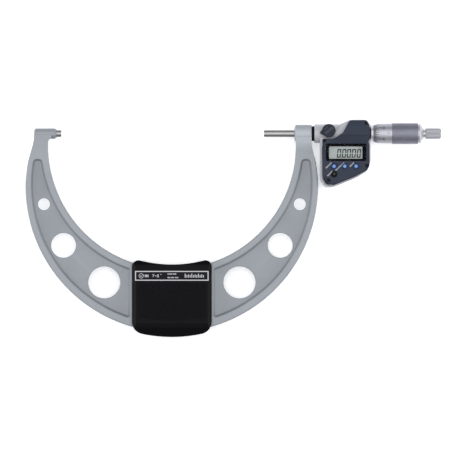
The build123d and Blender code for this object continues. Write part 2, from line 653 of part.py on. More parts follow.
with BuildPart() as keypad:
    # rubber pad with a dome under each button
    with BuildSketch(Plane.XY.offset(4.2)):
        rounded_outline([(235.2, -25.0, 1.0), (262.4, -25.0, 1.0), (262.4, -32.0, 1.2), (246.5, -32.6, 2.0),
                         (243.0, -38.8, 1.5), (237.0, -38.8, 1.2), (235.2, -36.8, 1.0)])
    extrude(amount=5.9, dir=(0, 0, 1))
    with BuildSketch(Plane.XY.offset(4.2)):
        with Locations(*BUTTONS.values()):
            Circle(2.2)
    extrude(amount=4.6, dir=(0, 0, 1), mode=Mode.SUBTRACT)

# ================================================================= buttons


def button_at(centre):
    return turned_z(centre, [(0, 10.75), (3.2, 10.75), (3.2, 11.1), (2.6, 11.1), (2.6, 13.5),
                             (2.3, 13.8), (1.9, 13.8), (1.75, 13.65), (0, 13.65)])


button_left = button_at(BUTTONS["left"])
button_middle = button_at(BUTTONS["middle"])
button_right = button_at(BUTTONS["right"])
button_lower = button_at(BUTTONS["lower"])

# ================================================================= spindle lock
with BuildPart() as lock_lever:
    # round knob with a pointed tab, and two sloping finger bars across its front
    with BuildSketch(Plane.XY.offset(9.0)):
        with Locations((LOCK_X, LOCK_Y)):
            Circle(5.9)
        with BuildLine():
            Polyline((226.8, 0.5), (227.3, 1.7), (232.2, 7.6), (234.6, 2.4), (231.8, -2.7), (227.1, -0.3), close=True)
        make_face()
    extrude(amount=3.4, dir=(0, 0, 1))
    fillet(lock_lever.edges().filter_by(lambda e: abs(e.center().Z - 12.4) < 0.01), radius=0.7)
    with BuildSketch(Plane.XY.offset(12.3)):
        with Locations((LOCK_X, LOCK_Y)):
            Rectangle(9.0, 2.6, rotation=42)
        with Locations((LOCK_X - 2.1, LOCK_Y + 2.4)):
            Rectangle(4.2, 1.1, rotation=42)
    extrude(amount=1.0, dir=(0, 0, 1))
    chamfer(lock_lever.edges().filter_by(lambda e: abs(e.center().Z - 13.3) < 0.01), length=0.4)
    with BuildSketch(Plane.XY.offset(8.9)):
        with Locations((LOCK_X, LOCK_Y)):
            Rectangle(2.2, 2.2)
    extrude(amount=2.5, dir=(0, 0, 1), mode=Mode.SUBTRACT)

with BuildPart() as lock_shaft:
    # shaft with a square driven end and an eccentric pressing pin
    with BuildSketch(Plane.XY.offset(5.0)):
        with Locations((LOCK_X, LOCK_Y)):
            Circle(1.9)
    extrude(amount=4.0, dir=(0, 0, 1))
    with BuildSketch(Plane.XY.offset(9.0)):
        with Locations((LOCK_X, LOCK_Y)):
            Rectangle(2.18, 2.18)
    extrude(amount=2.3, dir=(0, 0, 1))
    with BuildSketch(Plane.XY.offset(4.3)):
        with Locations((LOCK_X, LOCK_Y + 0.4)):
            Circle(1.3)
    extrude(amount=0.8, dir=(0, 0, 1))

# ================================================================= encoder
encoder_stator = turned([(250.0, 4.2), (250.0, 8.75), (251.7, 8.75), (251.7, 4.2)])
rotor_bearing = turned([(253.7, 4.25), (253.7, 8.75), (261.9, 8.75), (261.9, 4.25)])
with BuildPart() as encoder_rotor:
    with BuildSketch(Plane.XY):
        with BuildLine():
            Polyline((252.1, 3.225), (252.1, 7.8), (253.3, 7.8), (253.3, 4.2), (261.2, 4.2), (261.2, 3.225), close=True)
        make_face()
    revolve(axis=Axis.X)
    # driving key that runs in the spindle's keyway
    with BuildSketch(Plane.XY.offset(-0.7)):
        with Locations((257.0, -2.95)):
            Rectangle(5.0, 1.1)
    extrude(amount=1.4, dir=(0, 0, 1))

# ================================================================= sleeves and nut
inner_sleeve = turned([(262.0, 4.5), (262.0, 5.5), (309.0, 5.5), (309.0, 4.05), (296.0, 4.05), (296.0, 4.5)])
with BuildPart() as graduated_sleeve:
    with BuildSketch(Plane.XY):
        with BuildLine():
            Polyline((271.7, 5.51), (271.7, 6.85), (272.6, 6.85), (272.6, 6.6), (300.7, 6.6), (301.0, 6.3), (301.0, 5.51), close=True)
        make_face()
    revolve(axis=Axis.X)

with BuildPart() as adjusting_nut:
    with BuildSketch(Plane.YZ.offset(301.6)):
        Circle(6.5)
        Circle(5.51, mode=Mode.SUBTRACT)
    extrude(amount=6.0, dir=(1, 0, 0))
    with BuildSketch(Plane.YZ.offset(305.6)):
        Rectangle(2.0, 14.0)
    extrude(amount=3.0, dir=(1, 0, 0), mode=Mode.SUBTRACT)

# ================================================================= spindle and thimble
with BuildPart() as spindle:
    with BuildSketch(Plane.XY):
        with BuildLine():
            Polyline((RANGE_LOW + 1.5, 0), (RANGE_LOW + 1.5, SPINDLE_R), (268.6, SPINDLE_R), (269.5, 4.0),
                     (310.5, 4.0), (310.5, 3.0), (313.1, 3.0), (313.1, 2.49), (317.9, 2.49), (317.9, 1.51),
                     (305.5, 1.51), (305.5, 0), close=True)
        make_face()
    revolve(axis=Axis.X)
    with BuildSketch(Plane.XY.offset(-0.75)):
        with Locations((243.6, -3.3)):
            Rectangle(34.4, 2.0)
    extrude(amount=1.5, dir=(0, 0, 1), mode=Mode.SUBTRACT)

spindle_tip = turned([(RANGE_LOW, 0), (RANGE_LOW, 2.9), (RANGE_LOW + 0.25, 3.12), (RANGE_LOW + 1.5, 3.12), (RANGE_LOW + 1.5, 0)])

thimble = turned([(273.8, 6.9), (273.8, 7.1), (276.2, 7.9), (279.7, 8.45), (283.2, 8.6), (286.8, 8.65), (290.1, 8.65),
                  (290.1, 8.49), (313.1, 8.49), (313.1, 3.01), (310.5, 3.01), (310.5, 6.9)])
thimble_grip = turned([(290.1, 8.5), (290.1, 8.8), (290.5, 9.1), (312.7, 9.1), (313.1, 8.8), (313.1, 8.5)])
thimble_cap = turned([(313.1, 2.5), (313.1, 7.9), (314.3, 7.9), (314.3, 8.7), (314.6, 8.8), (315.0, 8.5), (317.5, 4.3),
                      (317.9, 3.9), (317.9, 2.5)])

TEETH = 12


def ratchet_teeth(x, direction, width, phase):
    """Ring of ramped teeth standing on the face at x, pointing along direction."""
    for i in range(TEETH):
        angle = 360.0 / TEETH * i + phase
        a = math.radians(angle)
        # local x is tangential, local y is along the measuring axis, extruded outwards
        tangent = (0, -math.sin(a), math.cos(a))
        radial = (0, math.cos(a), math.sin(a))
        origin = (x, 2.35 * math.cos(a), 2.35 * math.sin(a))
        with BuildSketch(Plane(origin=origin, x_dir=tangent, z_dir=radial)) as tooth:
            up = 1.0 if tooth.workplanes[0].y_dir.X * direction > 0 else -1.0
            with BuildLine():
                Polyline((-width / 2, -0.05 * up), (width / 2, -0.05 * up), (width / 2, 0.05 * up),
                         (-width / 2 + 0.1, 0.42 * up), (-width / 2, 0.42 * up), close=True)
            make_face()
        extrude(tooth.sketch, amount=1.15, dir=radial)


with BuildPart() as ratchet_wheel:
    with BuildSketch(Plane.XY):
        with BuildLine():
            Polyline((317.9, 1.51), (317.9, 3.4), (319.9, 3.4), (319.9, 3.6), (322.3, 3.6), (322.3, 1.51), close=True)
        make_face()
    revolve(axis=Axis.X)
    ratchet_teeth(322.3, 1, 0.46, 0.0)

with BuildPart() as ratchet_plate:
    with BuildSketch(Plane.XY):
        with BuildLine():
            Polyline((322.8, 1.8), (322.8, 3.6), (324.6, 3.6), (324.6, 1.8), close=True)
        make_face()
    revolve(axis=Axis.X)
    ratchet_teeth(322.8, -1, 0.40, 180.0 / TEETH)
    # key that slides in the knob's groove
    with BuildSketch(Plane.XY.offset(-0.5)):
        with Locations((323.7, 3.7)):
            Rectangle(1.8, 0.6)
    extrude(amount=1.0, dir=(0, 0, 1))

with BuildPart() as ratchet_knob:
    with BuildSketch(Plane.XY):
        with BuildLine():
            Polyline((319.6, 3.65), (319.6, 4.2), (319.95, 4.575), (331.7, 4.575), (332.6, 4.25), (333.3, 3.75),
                     (333.3, 2.9), (331.5, 2.9), (331.5, 1.55), (330.4, 1.55), (330.4, 3.65), close=True)
        make_face()
    revolve(axis=Axis.X)
    with BuildSketch(Plane.XY.offset(-0.55)):
        with Locations((325.0, 3.75)):
            Rectangle(10.8, 0.8)
    extrude(amount=1.1, dir=(0, 0, 1), mode=Mode.SUBTRACT)

with BuildPart() as ratchet_spring:
    # coil spring between plate and knob, clear of the plate's lift
    with BuildLine() as coil:
        Helix(pitch=1.05, height=4.6, radius=2.7, center=(325.5, 0, 0), direction=(1, 0, 0))
    with BuildSketch(Plane(origin=coil.line @ 0, z_dir=coil.line % 0)):
        Circle(0.25)
    sweep()

with BuildPart() as ratchet_screw:
    with BuildSketch(Plane.XY):
        with BuildLine():
            Polyline((306.0, 0), (306.0, 1.2), (306.3, 1.5), (331.6, 1.5), (331.6, 2.5), (332.7, 2.5), (332.95, 2.25),
                     (332.95, 0), close=True)
        make_face()
    revolve(axis=Axis.X)
    with BuildSketch(Plane.YZ.offset(332.1)):
        RegularPolygon(radius=1.15, side_count=6)
    extrude(amount=2.0, dir=(1, 0, 0), mode=Mode.SUBTRACT)

# ================================================================= battery and output socket
battery = turned_z((BATTERY_X, BATTERY_Y), [(0, -10.1), (5.5, -10.1), (5.8, -9.8), (5.8, -5.3), (5.2, -5.3), (5.2, -4.7), (0, -4.7)])
battery_holder = turned_z((BATTERY_X, BATTERY_Y), [(5.85, -10.0), (9.6, -10.0), (9.6, -6.5), (5.85, -6.5)])

with BuildPart() as battery_contact:
    # bent strip from the top of the cell up to the board
    with BuildSketch(Plane.XZ.offset(-BATTERY_Y + 1.5)):
        with BuildLine():
            Polyline((247.5, -4.7), (253.3, -4.7), (253.3, 2.7), (256.0, 2.7), (256.0, 3.0), (253.0, 3.0),
                     (253.0, -4.4), (247.5, -4.4), close=True)
        make_face()
    extrude(amount=-3.0, dir=(0, -1, 0))

with BuildPart() as battery_cap:
    with BuildSketch(Plane(origin=(BATTERY_X, BATTERY_Y, 0), x_dir=(1, 0, 0), z_dir=(0, -1, 0))):
        with BuildLine():
            Polyline((0, -11.9), (7.6, -11.9), (8.0, -11.5), (8.0, -11.3), (7.45, -11.3), (7.45, -10.5), (8.0, -10.5),
                     (8.0, -10.2), (0, -10.2), close=True)
        make_face()
    revolve(axis=Axis((BATTERY_X, BATTERY_Y, 0), (0, 0, 1)))
    # coin slot
    with BuildSketch(Plane.XY.offset(-12.0)):
        with Locations((BATTERY_X, BATTERY_Y)):
            Rectangle(11.0, 1.6)
    extrude(amount=1.0, dir=(0, 0, 1), mode=Mode.SUBTRACT)

battery_cap_seal = turned_z((BATTERY_X, BATTERY_Y), [(7.46, -11.25), (8.1, -11.25), (8.25, -11.1), (8.25, -10.7), (8.1, -10.55), (7.46, -10.55)])

with BuildPart() as output_socket:
    with BuildSketch(Plane.XY.offset(-10.9)):
        with Locations((PORT_X, PORT_Y)):
            RectangleRounded(8.8, 4.2, 0.5)
    extrude(amount=4.9, dir=(0, 0, 1))
    with BuildSketch(Plane.XY.offset(-10.0)):
        with Locations((PORT_X, PORT_Y)):
            Rectangle(9.4, 5.0)
    extrude(amount=1.0, dir=(0, 0, 1))
    with BuildSketch(Plane.XY.offset(-10.9)):
        with Locations((PORT_X, PORT_Y)):
            RectangleRounded(7.0, 2.4, 0.4)
    extrude(amount=3.4, dir=(0, 0, 1), mode=Mode.SUBTRACT)

with BuildPart() as output_socket_cover:
    with BuildSketch(Plane.XY.offset(-11.95)):
        with Locations((PORT_X, PORT_Y)):
            RectangleRounded(16.8, 6.4, 1.4)
    extrude(amount=0.95, dir=(0, 0, 1))
    with BuildSketch(Plane.XY.offset(-12.0)):
        with Locations((PORT_X - 6.6, PORT_Y), (PORT_X + 6.6, PORT_Y)):
            Circle(0.8)
    extrude(amount=1.2, dir=(0, 0, 1), mode=Mode.SUBTRACT)
    with BuildSketch(Plane.XY.offset(-12.0)):
        with Locations((PORT_X - 6.6, PORT_Y), (PORT_X + 6.6, PORT_Y)):
            Circle(1.35)
    extrude(amount=0.55, dir=(0, 0, 1), mode=Mode.SUBTRACT)


def socket_screw_at(x, y):
    with BuildPart() as s:
        with BuildSketch(Plane(origin=(0, 0, 0), x_dir=(1, 0, 0), z_dir=(0, -1, 0))):
            with BuildLine():
                Polyline((0, -11.9), (1.1, -11.9), (1.25, -11.75), (1.25, -11.45), (0.69, -11.45), (0.69, -8.0), (0, -8.0), close=True)
            make_face()
        revolve(axis=Axis.Z)
        cross_slot(-12.0, 0.35, 1.6, 0.35)
    with BuildPart() as placed:
        add(s.part.moved(Location((x, y, 0))))
    return placed


socket_screw_left = socket_screw_at(PORT_X - 6.6, PORT_Y)
socket_screw_right = socket_screw_at(PORT_X + 6.6, PORT_Y)

# ================================================================= files
nodes = {
    "frame": frame,
    "anvil": anvil,
    "anvil_tip": anvil_tip,
    "spindle_bush": spindle_bush,
    "spindle_wiper": spindle_wiper,
    "front_grip_cover": front_grip_cover,
    "rear_grip_cover": rear_grip_cover,
    "grip_screw_left": grip_screw_left,
    "grip_screw_right": grip_screw_right,
    "grip_insert_left": grip_insert_left,
    "grip_insert_right": grip_insert_right,
    "label_plate": label_plate,
    "head_seal_ring": head_seal_ring,
    "head_housing": head_housing,
    "rear_spindle_bush": rear_spindle_bush,
    "lock_clamp_ring": lock_clamp_ring,
    "display_cover": display_cover,
    "cover_gasket": cover_gasket,
    "window_mask": window_mask,
    "display_window": display_window,
    "lcd_panel": lcd_panel,
    "lcd_holder": lcd_holder,
    "elastomer_connector": elastomer_connector,
    "circuit_board": circuit_board,
    "keypad": keypad,
    "cover_screw_1": cover_screws[0],
    "cover_screw_2": cover_screws[1],
    "cover_screw_3": cover_screws[2],
    "cover_screw_4": cover_screws[3],
    "encoder_stator": encoder_stator,
    "rotor_bearing": rotor_bearing,
    "encoder_rotor": encoder_rotor,
    "inner_sleeve": inner_sleeve,
    "graduated_sleeve": graduated_sleeve,
    "adjusting_nut": adjusting_nut,
    "spindle": spindle,
    "spindle_tip": spindle_tip,
    "thimble": thimble,
    "thimble_grip": thimble_grip,
    "thimble_cap": thimble_cap,
    "ratchet_wheel": ratchet_wheel,
    "ratchet_screw": ratchet_screw,
    "ratchet_plate": ratchet_plate,
    "ratchet_knob": ratchet_knob,
    "ratchet_spring": ratchet_spring,
    "lock_lever": lock_lever,
    "lock_shaft": lock_shaft,
    "button_left": button_left,
    "button_middle": button_middle,
    "button_right": button_right,
    "button_lower": button_lower,
    "battery": battery,
    "battery_holder": battery_holder,
    "battery_contact": battery_contact,
    "battery_cap": battery_cap,
    "battery_cap_seal": battery_cap_seal,
    "output_socket": output_socket,
    "output_socket_cover": output_socket_cover,
    "socket_screw_left": socket_screw_left,
    "socket_screw_right": socket_screw_right,
}
for node_name, node in nodes.items():
    save(node_name, node)
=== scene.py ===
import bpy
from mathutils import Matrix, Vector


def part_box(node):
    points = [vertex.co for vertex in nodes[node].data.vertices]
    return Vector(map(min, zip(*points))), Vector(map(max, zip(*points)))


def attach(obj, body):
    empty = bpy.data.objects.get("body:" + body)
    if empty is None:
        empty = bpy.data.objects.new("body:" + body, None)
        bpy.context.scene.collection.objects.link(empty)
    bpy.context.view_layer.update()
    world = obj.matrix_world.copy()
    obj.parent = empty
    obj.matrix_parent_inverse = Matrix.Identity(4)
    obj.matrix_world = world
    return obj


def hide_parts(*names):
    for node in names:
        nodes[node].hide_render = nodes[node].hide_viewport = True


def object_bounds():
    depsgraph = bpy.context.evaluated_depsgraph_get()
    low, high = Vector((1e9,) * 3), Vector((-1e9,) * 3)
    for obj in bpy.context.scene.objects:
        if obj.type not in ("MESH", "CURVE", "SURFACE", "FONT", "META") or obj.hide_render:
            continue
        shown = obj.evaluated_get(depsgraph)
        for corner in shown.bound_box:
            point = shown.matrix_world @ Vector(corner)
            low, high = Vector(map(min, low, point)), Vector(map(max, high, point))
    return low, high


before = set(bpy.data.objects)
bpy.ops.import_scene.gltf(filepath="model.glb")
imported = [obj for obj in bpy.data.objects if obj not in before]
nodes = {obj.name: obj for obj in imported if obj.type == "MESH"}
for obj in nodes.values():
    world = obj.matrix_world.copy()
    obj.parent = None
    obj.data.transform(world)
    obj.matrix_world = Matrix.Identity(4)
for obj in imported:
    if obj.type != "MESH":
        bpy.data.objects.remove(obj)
cad_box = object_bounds()

import math

import bmesh
import bpy
from mathutils import Vector

MM = 0.001


# ------------------------------------------------------------------ materials
def new_material(name):
    m = bpy.data.materials.new(name)
    m.use_nodes = True
    nt = m.node_tree
    bsdf = next(n for n in nt.nodes if n.type == "BSDF_PRINCIPLED")
    return m, nt, bsdf


def noise(nt, scale, stretch=(1, 1, 1), detail=4.0, rough=0.55):
    coord = nt.nodes.new("ShaderNodeTexCoord")
    place = nt.nodes.new("ShaderNodeMapping")
    place.inputs["Scale"].default_value = stretch
    tex = nt.nodes.new("ShaderNodeTexNoise")
    tex.inputs["Scale"].default_value = scale
    tex.inputs["Detail"].default_value = detail
    tex.inputs["Roughness"].default_value = rough
    nt.links.new(coord.outputs["Object"], place.inputs["Vector"])
    nt.links.new(place.outputs["Vector"], tex.inputs["Vector"])
    return tex


def ramp(nt, source, stops):
    r = nt.nodes.new("ShaderNodeValToRGB")
    r.color_ramp.elements[0].position, r.color_ramp.elements[0].color = stops[0][0], (*stops[0][1], 1)
    r.color_ramp.elements[1].position, r.color_ramp.elements[1].color = stops[-1][0], (*stops[-1][1], 1)
    for pos, colour in stops[1:-1]:
        e = r.color_ramp.elements.new(pos)
        e.color = (*colour, 1)
    nt.links.new(source, r.inputs["Fac"])
    return r


def spread(nt, source, low, high):
    m = nt.nodes.new("ShaderNodeMapRange")
    m.inputs["From Min"].default_value = 0.3
    m.inputs["From Max"].default_value = 0.7
    m.inputs["To Min"].default_value = low
    m.inputs["To Max"].default_value = high
    nt.links.new(source, m.inputs["Value"])
    return m


def bumped(nt, bsdf, source, strength, distance):
    b = nt.nodes.new("ShaderNodeBump")
    b.inputs["Strength"].default_value = strength
    b.inputs["Distance"].default_value = distance
    nt.links.new(source, b.inputs["Height"])
    nt.links.new(b.outputs["Normal"], bsdf.inputs["Normal"])
    return b


def shade(c, k):
    return tuple(min(1.0, x * k) for x in c)


def surface(name, colour, rough, metal=0.0, vary=0.10, cloud=60, cloud_stretch=(1, 1, 1), grain=2500,
            grain_stretch=(1, 1, 1), bump=0.15, depth=0.00005, spec=0.5, coat=0.0, coat_rough=0.1, edge=None,
            anis=0.0):
    """A procedural finish: clouded colour, grained roughness and relief, and worn edges."""
    m, nt, bsdf = new_material(name)
    cloudy = noise(nt, cloud, cloud_stretch)
    base = ramp(nt, cloudy.outputs["Fac"], [(0.30, shade(colour, 1 - vary)), (0.52, colour), (0.74, shade(colour, 1 + vary))])
    out = base.outputs["Color"]
    if edge:
        geo = nt.nodes.new("ShaderNodeNewGeometry")
        rim = ramp(nt, geo.outputs["Pointiness"], [(0.505, (0, 0, 0)), (0.56, (1, 1, 1))])
        worn = nt.nodes.new("ShaderNodeMix")
        worn.data_type = "RGBA"
        nt.links.new(rim.outputs["Color"], worn.inputs[0])
        nt.links.new(out, worn.inputs[6])
        worn.inputs[7].default_value = (*edge, 1)
        out = worn.outputs[2]
    nt.links.new(out, bsdf.inputs["Base Color"])
    fine = noise(nt, grain, grain_stretch, detail=3.0)
    r = spread(nt, fine.outputs["Fac"], rough * 0.88, rough * 1.12)
    nt.links.new(r.outputs["Result"], bsdf.inputs["Roughness"])
    bumped(nt, bsdf, fine.outputs["Fac"], bump, depth)
    bsdf.inputs["Metallic"].default_value = metal
    bsdf.inputs["Specular IOR Level"].default_value = spec
    bsdf.inputs["Coat Weight"].default_value = coat
    bsdf.inputs["Coat Roughness"].default_value = coat_rough
    bsdf.inputs["Anisotropic"].default_value = anis
    return m


def shade_by_height(m, stops):
    """Painted shade and highlight: the paint is darker in the recessed web and lighter where it stands proud, most on
    the boss: stops are (distance from the mid plane in mm, factor).
    """
    nt = m.node_tree
    bsdf = next(n for n in nt.nodes if n.type == "BSDF_PRINCIPLED")
    link = bsdf.inputs["Base Color"].links[0]
    source = link.from_socket
    coord = nt.nodes.new("ShaderNodeTexCoord")
    split = nt.nodes.new("ShaderNodeSeparateXYZ")
    size = nt.nodes.new("ShaderNodeMath")
    size.operation = "ABSOLUTE"
    reach = nt.nodes.new("ShaderNodeMapRange")
    reach.inputs["From Max"].default_value = 0.010
    shade_tone = ramp(nt, reach.outputs["Result"], [(d / 10, (k, k, k)) for d, k in stops])
    mul = nt.nodes.new("ShaderNodeMix")
    mul.data_type = "RGBA"
    mul.blend_type = "MULTIPLY"
    mul.inputs[0].default_value = 1.0
    nt.links.new(coord.outputs["Object"], split.inputs[0])
    nt.links.new(split.outputs["Z"], size.inputs[0])
    nt.links.new(size.outputs[0], reach.inputs["Value"])
    nt.links.new(source, mul.inputs[6])
    nt.links.new(shade_tone.outputs["Color"], mul.inputs[7])
    nt.links.new(mul.outputs[2], bsdf.inputs["Base Color"])


TURNED = (60, 1, 1)          # fine rings about the measuring axis
MATS = {
    "frame_paint": surface("frame_paint", (0.275, 0.298, 0.330), 0.46, cloud=45, vary=0.05, grain=900, bump=0.20,
                           depth=0.00010, coat=0.25, coat_rough=0.3, edge=(0.31, 0.335, 0.37)),
    "head_paint": surface("head_paint", (0.385, 0.395, 0.43), 0.42, cloud=60, vary=0.04, grain=1200, bump=0.15,
                          depth=0.00006, coat=0.25, coat_rough=0.25),
    "ground_steel": surface("ground_steel", (0.29, 0.288, 0.29), 0.34, metal=1.0, grain=40, grain_stretch=TURNED,
                            bump=0.2, depth=0.00002, vary=0.05),
    "carbide": surface("carbide", (0.27, 0.27, 0.29), 0.22, metal=1.0, vary=0.08, bump=0.1, depth=0.00002),
    "satin_chrome": surface("satin_chrome", (0.385, 0.392, 0.432), 0.50, metal=1.0, grain=40, grain_stretch=TURNED,
                            bump=0.25, depth=0.00003, vary=0.04),
    "knurled_steel": surface("knurled_steel", (0.19, 0.195, 0.235), 0.46, metal=1.0, grain=1600, bump=0.3,
                             depth=0.00005, vary=0.06),
    "screw_steel": surface("screw_steel", (0.035, 0.035, 0.045), 0.38, metal=0.9, vary=0.12, bump=0.2, depth=0.00003),
    "spring_steel": surface("spring_steel", (0.42, 0.42, 0.44), 0.30, metal=1.0, vary=0.1),
    "brass_insert": surface("brass_insert", (0.55, 0.40, 0.16), 0.32, metal=1.0, vary=0.12),
    "battery_steel": surface("battery_steel", (0.55, 0.55, 0.56), 0.28, metal=1.0, vary=0.06),
    "black_rubber": surface("black_rubber", (0.004, 0.004, 0.005), 0.75, vary=0.2, grain=1800, bump=0.3, spec=0.1),
    "keypad_rubber": surface("keypad_rubber", (0.03, 0.03, 0.035), 0.8, vary=0.2, bump=0.25, spec=0.3),
    "grip_plastic": surface("grip_plastic", (0.0013, 0.0012, 0.0021), 0.40, vary=0.2, cloud=80, grain=2600, bump=0.22,
                            depth=0.00006, spec=0.07),
    "label": surface("label", (0.004, 0.004, 0.007), 0.30, vary=0.12, grain=1500, bump=0.08, depth=0.00002, spec=0.08),
    "cover_plastic": surface("cover_plastic", (0.017, 0.022, 0.038), 0.40, vary=0.10, cloud=70, grain=2400, bump=0.22,
                             depth=0.00006, spec=0.09, edge=(0.030, 0.036, 0.055)),
    "mask_black": surface("mask_black", (0.0018, 0.0018, 0.0035), 0.22, vary=0.1, bump=0.03, depth=0.00001, spec=0.02),
    "lcd": surface("lcd", (0.42, 0.465, 0.445), 0.55, vary=0.05, cloud=110, grain=3000, bump=0.05, depth=0.00001, spec=0.3),
    "inner_plastic": surface("inner_plastic", (0.05, 0.05, 0.055), 0.55, vary=0.1),
    "board_green": surface("board_green", (0.02, 0.12, 0.05), 0.45, vary=0.15),
    "lever_metal": surface("lever_metal", (0.012, 0.0155, 0.025), 0.40, vary=0.12, cloud=120, grain=2200, bump=0.22,
                           depth=0.00005, spec=0.14, edge=(0.040, 0.046, 0.064)),
    "button_blue": surface("button_blue", (0.005, 0.022, 0.090), 0.30, vary=0.15, grain=1800, bump=0.1, spec=0.2),
    "button_black": surface("button_black", (0.0025, 0.0025, 0.003), 0.33, vary=0.2, grain=1800, bump=0.1, spec=0.08),
    "cap_plastic": surface("cap_plastic", (0.035, 0.037, 0.048), 0.45, vary=0.12, grain=2000, bump=0.2, spec=0.4),
}


# painted shade on the frame's recessed web and walls, painted highlight on its rims and boss
shade_by_height(MATS["frame_paint"], [(2.4, 0.74), (3.2, 0.68), (4.8, 0.80), (5.3, 0.84), (7.7, 1.14)])


def clear(name):
    m, nt, bsdf = new_material(name)
    film = noise(nt, 300)
    r = spread(nt, film.outputs["Fac"], 0.04, 0.10)
    nt.links.new(r.outputs["Result"], bsdf.inputs["Roughness"])
    tint = ramp(nt, film.outputs["Fac"], [(0.2, (0.010, 0.011, 0.012)), (0.8, (0.014, 0.015, 0.016))])
    nt.links.new(tint.outputs["Color"], bsdf.inputs["Base Color"])
    bsdf.inputs["Alpha"].default_value = 0.07
    bsdf.inputs["Specular IOR Level"].default_value = 0.25
    return m


MATS["window_clear"] = clear("window_clear")
EXTRA = {
    "print_white": surface("print_white", (0.47, 0.47, 0.50), 0.5, vary=0.06, grain=1500, bump=0.1, spec=0.3),
    "print_grey": surface("print_grey", (0.30, 0.31, 0.36), 0.5, vary=0.08, grain=1500, bump=0.1, spec=0.3),
    "segment": surface("segment", (0.008, 0.011, 0.010), 0.5, vary=0.12, bump=0.05, spec=0.3),
    "etched": surface("etched", (0.030, 0.030, 0.040), 0.55, vary=0.12, bump=0.1, spec=0.3),
    "spot": surface("spot", (0.24, 0.245, 0.27), 0.45, metal=1.0, vary=0.1, bump=0.1),
    "button_highlight": surface("button_highlight", (0.11, 0.25, 0.52), 0.26, vary=0.12, cloud=400, grain=1600, bump=0.08, spec=0.3,
                            coat=0.3, coat_rough=0.15),
    "button_glint": surface("button_glint", (0.055, 0.055, 0.065), 0.30, vary=0.15, bump=0.1, spec=0.5),
}

NODE_MATS = {
    **{f"cover_screw_{i}": surface(f"cover_screw_black_{i}", (0.0045, 0.0045, 0.006), 0.35, vary=0.15, bump=0.15,
                                   depth=0.00003, spec=0.10) for i in range(1, 5)},
    # lighter copies of the satin chrome for the sleeve, thimble cap and ratchet wheel: painted highlight where the
    # light falls on them
    "graduated_sleeve": surface("sleeve_chrome_highlight", (0.60, 0.61, 0.64), 0.50, metal=1.0, grain=40, grain_stretch=TURNED,
                                bump=0.25, depth=0.00003, vary=0.04),
    "thimble_cap": surface("cap_chrome_highlight", (0.52, 0.525, 0.56), 0.55, metal=1.0, grain=40, grain_stretch=TURNED,
                           bump=0.25, depth=0.00003, vary=0.04),
    "ratchet_wheel": surface("wheel_chrome_highlight", (0.44, 0.445, 0.47), 0.42, metal=1.0, grain=40, grain_stretch=TURNED,
                             bump=0.25, depth=0.00003, vary=0.04),
}
# a lighter copy of the satin chrome for the knob: painted highlight from the light on its flutes
KNOB_HIGHLIGHT = surface("knob_chrome_highlight", (0.40, 0.40, 0.43), 0.55, metal=1.0, grain=1400, bump=0.2, depth=0.00003, vary=0.05)

slot_of = {}
for name, obj in nodes.items():
    for s in obj.material_slots:
        key = s.material.name.split(".")[0] if s.material else ""
        slot_of[name] = key
        if key in MATS:
            s.material = NODE_MATS.get(name, MATS[key])


# ------------------------------------------------------------------ mesh helpers (millimetres in, metres out)
def piece(name, verts, faces, body, mat, smooth=False):
    me = bpy.data.meshes.new(name)
    bm = bmesh.new()
    vs = [bm.verts.new((x * MM, y * MM, z * MM)) for x, y, z in verts]
    for f in faces:
        face = bm.faces.new([vs[i] for i in f])
        face.smooth = smooth
    bmesh.ops.recalc_face_normals(bm, faces=bm.faces[:])
    bm.to_mesh(me)
    bm.free()
    ob = bpy.data.objects.new(name, me)
    bpy.context.scene.collection.objects.link(ob)
    me.materials.append(mat)
    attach(ob, body)
    return ob


def prisms(name, polys, z0, z1, body, mat, taper=0.0):
    """Flat raised shapes: each polygon is a list of (x, y), from z0 up to z1."""
    verts, faces = [], []
    for p in polys:
        n, k = len(p), len(verts)
        cx = sum(q[0] for q in p) / n
        cy = sum(q[1] for q in p) / n
        verts += [(x, y, z0) for x, y in p]
        verts += [(cx + (x - cx) * (1 - taper), cy + (y - cy) * (1 - taper), z1) for x, y in p]
        faces.append(list(range(k, k + n))[::-1])
        faces.append(list(range(k + n, k + 2 * n)))
        faces += [[k + i, k + (i + 1) % n, k + n + (i + 1) % n, k + n + i] for i in range(n)]
    return piece(name, verts, faces, body, mat)


def bar(p, q, w):
    """A straight stroke from p to q, w wide, as a four-sided polygon."""
    dx, dy = q[0] - p[0], q[1] - p[1]
    n = math.hypot(dx, dy) or 1
    ux, uy = dx / n * w / 2, dy / n * w / 2
    return [(p[0] - ux + uy, p[1] - uy - ux), (q[0] + ux + uy, q[1] + uy - ux),
            (q[0] + ux - uy, q[1] + uy + ux), (p[0] - ux - uy, p[1] - uy + ux)]


def ribbon(line, w):
    """A stroke along a line of points, as four-sided polygons that share their joints and don't overlap."""
    closed = math.dist(line[0], line[-1]) < 1e-6
    pts = line[:-1] if closed else line
    n = len(pts)
    left, right = [], []
    for i, (x, y) in enumerate(pts):
        a = pts[i - 1] if (i > 0 or closed) else None
        b = pts[(i + 1) % n] if (i < n - 1 or closed) else None
        d0 = Vector((x - a[0], y - a[1])).normalized() if a else None
        d1 = Vector((b[0] - x, b[1] - y)).normalized() if b else None
        d0, d1 = d0 or d1, d1 or d0
        n0, n1 = Vector((-d0.y, d0.x)), Vector((-d1.y, d1.x))
        m = (n0 + n1)
        m = m.normalized() if m.length > 1e-6 else n0
        k = w / 2 / max(0.5, m.dot(n0))
        left.append((x + m.x * k, y + m.y * k))
        right.append((x - m.x * k, y - m.y * k))
    last = n if closed else n - 1
    return [[left[i], left[(i + 1) % n], right[(i + 1) % n], right[i]] for i in range(last)]


def rect(x0, y0, x1, y1):
    return [(x0, y0), (x1, y0), (x1, y1), (x0, y1)]


def disc(cx, cy, r, n=40):
    return [(cx + r * math.cos(2 * math.pi * i / n), cy + r * math.sin(2 * math.pi * i / n)) for i in range(n)]


